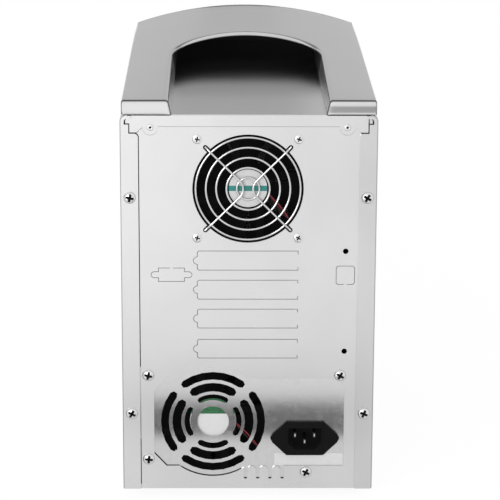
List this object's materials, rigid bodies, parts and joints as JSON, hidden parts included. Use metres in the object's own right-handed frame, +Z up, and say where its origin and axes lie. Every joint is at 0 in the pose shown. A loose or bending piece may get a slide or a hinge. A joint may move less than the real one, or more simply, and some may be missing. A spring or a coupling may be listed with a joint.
{
  "type": "cd dvd duplicator tower",
  "caption": "Desktop tower that copies discs: stacked optical drives and a controller in a steel case, a moulded handle cap on top, fan and power supply at the back.",
  "frame": {"origin": "on the ground, under the middle of the tower", "axes": "+Z up, the drives face -Y, the back with its sockets faces +Y"},
  "size_m": [0.1808, 0.3424, 0.3112],
  "materials": {
    "case_steel": "zinc-plated sheet with a satin surface",
    "zinc_steel": "bare zinc-coated sheet",
    "cap_moulding": "moulding with a silver-grey lacquer",
    "key_moulding": "off-white moulding, smooth",
    "dark_moulding": "black moulding, satin",
    "black_moulding": "black moulding",
    "wire_chrome": "bright plated wire",
    "screw_steel": "plated",
    "display_glass": "clear window over a blue display",
    "foot_rubber": "matt"
  },
  "bodies": {
    "tower": {"base_pan": "zinc_steel", "back_panel": "case_steel", "top_panel": "case_steel", "left_side_cover": "case_steel", "right_side_cover": "case_steel", "front_frame": "zinc_steel", "front_bezel": "cap_moulding", "handle_cap": "cap_moulding", "drive_cage_left": "zinc_steel", "drive_cage_right": "zinc_steel", "foot_front_left": "foot_rubber", "foot_front_right": "foot_rubber", "foot_back_left": "foot_rubber", "foot_back_right": "foot_rubber", "back_fan_frame": "black_moulding", "back_fan_guard": "wire_chrome", "supply_casing": "zinc_steel", "supply_fan_frame": "black_moulding", "mains_inlet": "black_moulding", "inlet_pin_line": "screw_steel", "inlet_pin_neutral": "screw_steel", "inlet_pin_earth": "screw_steel", "controller_module": "dark_moulding", "display_window": "display_glass", "drive_1_case": "zinc_steel", "drive_1_faceplate": "dark_moulding", "drive_2_case": "zinc_steel", "drive_2_faceplate": "dark_moulding", "drive_3_case": "zinc_steel", "drive_3_faceplate": "dark_moulding", "drive_4_case": "zinc_steel", "drive_4_faceplate": "dark_moulding", "cover_screw_left_1": "screw_steel", "cover_screw_left_2": "screw_steel", "cover_screw_right_1": "screw_steel", "cover_screw_right_2": "screw_steel", "supply_screw_1": "screw_steel", "supply_screw_2": "screw_steel", "supply_screw_3": "screw_steel", "supply_screw_4": "screw_steel", "fan_screw_1": "screw_steel", "fan_screw_2": "screw_steel", "fan_screw_3": "screw_steel", "fan_screw_4": "screw_steel"},
    "back_fan_rotor": {"back_fan_rotor": "black_moulding"},
    "supply_fan_rotor": {"supply_fan_rotor": "black_moulding"},
    "drive_1_tray": {"drive_1_tray": "dark_moulding"},
    "drive_2_tray": {"drive_2_tray": "dark_moulding"},
    "drive_3_tray": {"drive_3_tray": "dark_moulding"},
    "drive_4_tray": {"drive_4_tray": "dark_moulding"},
    "drive_1_eject": {"drive_1_eject_button": "dark_moulding"},
    "drive_2_eject": {"drive_2_eject_button": "dark_moulding"},
    "drive_3_eject": {"drive_3_eject_button": "dark_moulding"},
    "drive_4_eject": {"drive_4_eject_button": "dark_moulding"},
    "controller_key_1": {"controller_key_1": "key_moulding"},
    "controller_key_2": {"controller_key_2": "key_moulding"},
    "controller_key_3": {"controller_key_3": "key_moulding"},
    "controller_key_4": {"controller_key_4": "key_moulding"},
    "power_button": {"power_button": "key_moulding"}
  },
  "joints": [
    {"name": "back_fan_spin", "type": "hinge", "parent": "tower", "child": "back_fan_rotor", "pos_m": [0.0005, 0.15393, 0.231], "axis": [0, 1, 0], "continuous": true},
    {"name": "supply_fan_spin", "type": "hinge", "parent": "tower", "child": "supply_fan_rotor", "pos_m": [0.0252, 0.15293, 0.0572], "axis": [0, 1, 0], "continuous": true},
    {"name": "drive_1_tray_slide", "type": "slide", "parent": "tower", "child": "drive_1_tray", "axis": [0, -1, 0], "range_m": [0, 0.135]},
    {"name": "drive_2_tray_slide", "type": "slide", "parent": "tower", "child": "drive_2_tray", "axis": [0, -1, 0], "range_m": [0, 0.135]},
    {"name": "drive_3_tray_slide", "type": "slide", "parent": "tower", "child": "drive_3_tray", "axis": [0, -1, 0], "range_m": [0, 0.135]},
    {"name": "drive_4_tray_slide", "type": "slide", "parent": "tower", "child": "drive_4_tray", "axis": [0, -1, 0], "range_m": [0, 0.135]},
    {"name": "drive_1_eject_press", "type": "slide", "parent": "tower", "child": "drive_1_eject", "axis": [0, 1, 0], "range_m": [0, 0.001], "stiffness_N_per_m": 600},
    {"name": "drive_2_eject_press", "type": "slide", "parent": "tower", "child": "drive_2_eject", "axis": [0, 1, 0], "range_m": [0, 0.001], "stiffness_N_per_m": 600},
    {"name": "drive_3_eject_press", "type": "slide", "parent": "tower", "child": "drive_3_eject", "axis": [0, 1, 0], "range_m": [0, 0.001], "stiffness_N_per_m": 600},
    {"name": "drive_4_eject_press", "type": "slide", "parent": "tower", "child": "drive_4_eject", "axis": [0, 1, 0], "range_m": [0, 0.001], "stiffness_N_per_m": 600},
    {"name": "controller_key_1_press", "type": "slide", "parent": "tower", "child": "controller_key_1", "axis": [0, 1, 0], "range_m": [0, 0.001], "stiffness_N_per_m": 600},
    {"name": "controller_key_2_press", "type": "slide", "parent": "tower", "child": "controller_key_2", "axis": [0, 1, 0], "range_m": [0, 0.001], "stiffness_N_per_m": 600},
    {"name": "controller_key_3_press", "type": "slide", "parent": "tower", "child": "controller_key_3", "axis": [0, 1, 0], "range_m": [0, 0.001], "stiffness_N_per_m": 600},
    {"name": "controller_key_4_press", "type": "slide", "parent": "tower", "child": "controller_key_4", "axis": [0, 1, 0], "range_m": [0, 0.001], "stiffness_N_per_m": 600},
    {"name": "power_button_press", "type": "slide", "parent": "tower", "child": "power_button", "axis": [0, 1, 0], "range_m": [0, 0.0015], "stiffness_N_per_m": 600}
  ]
}
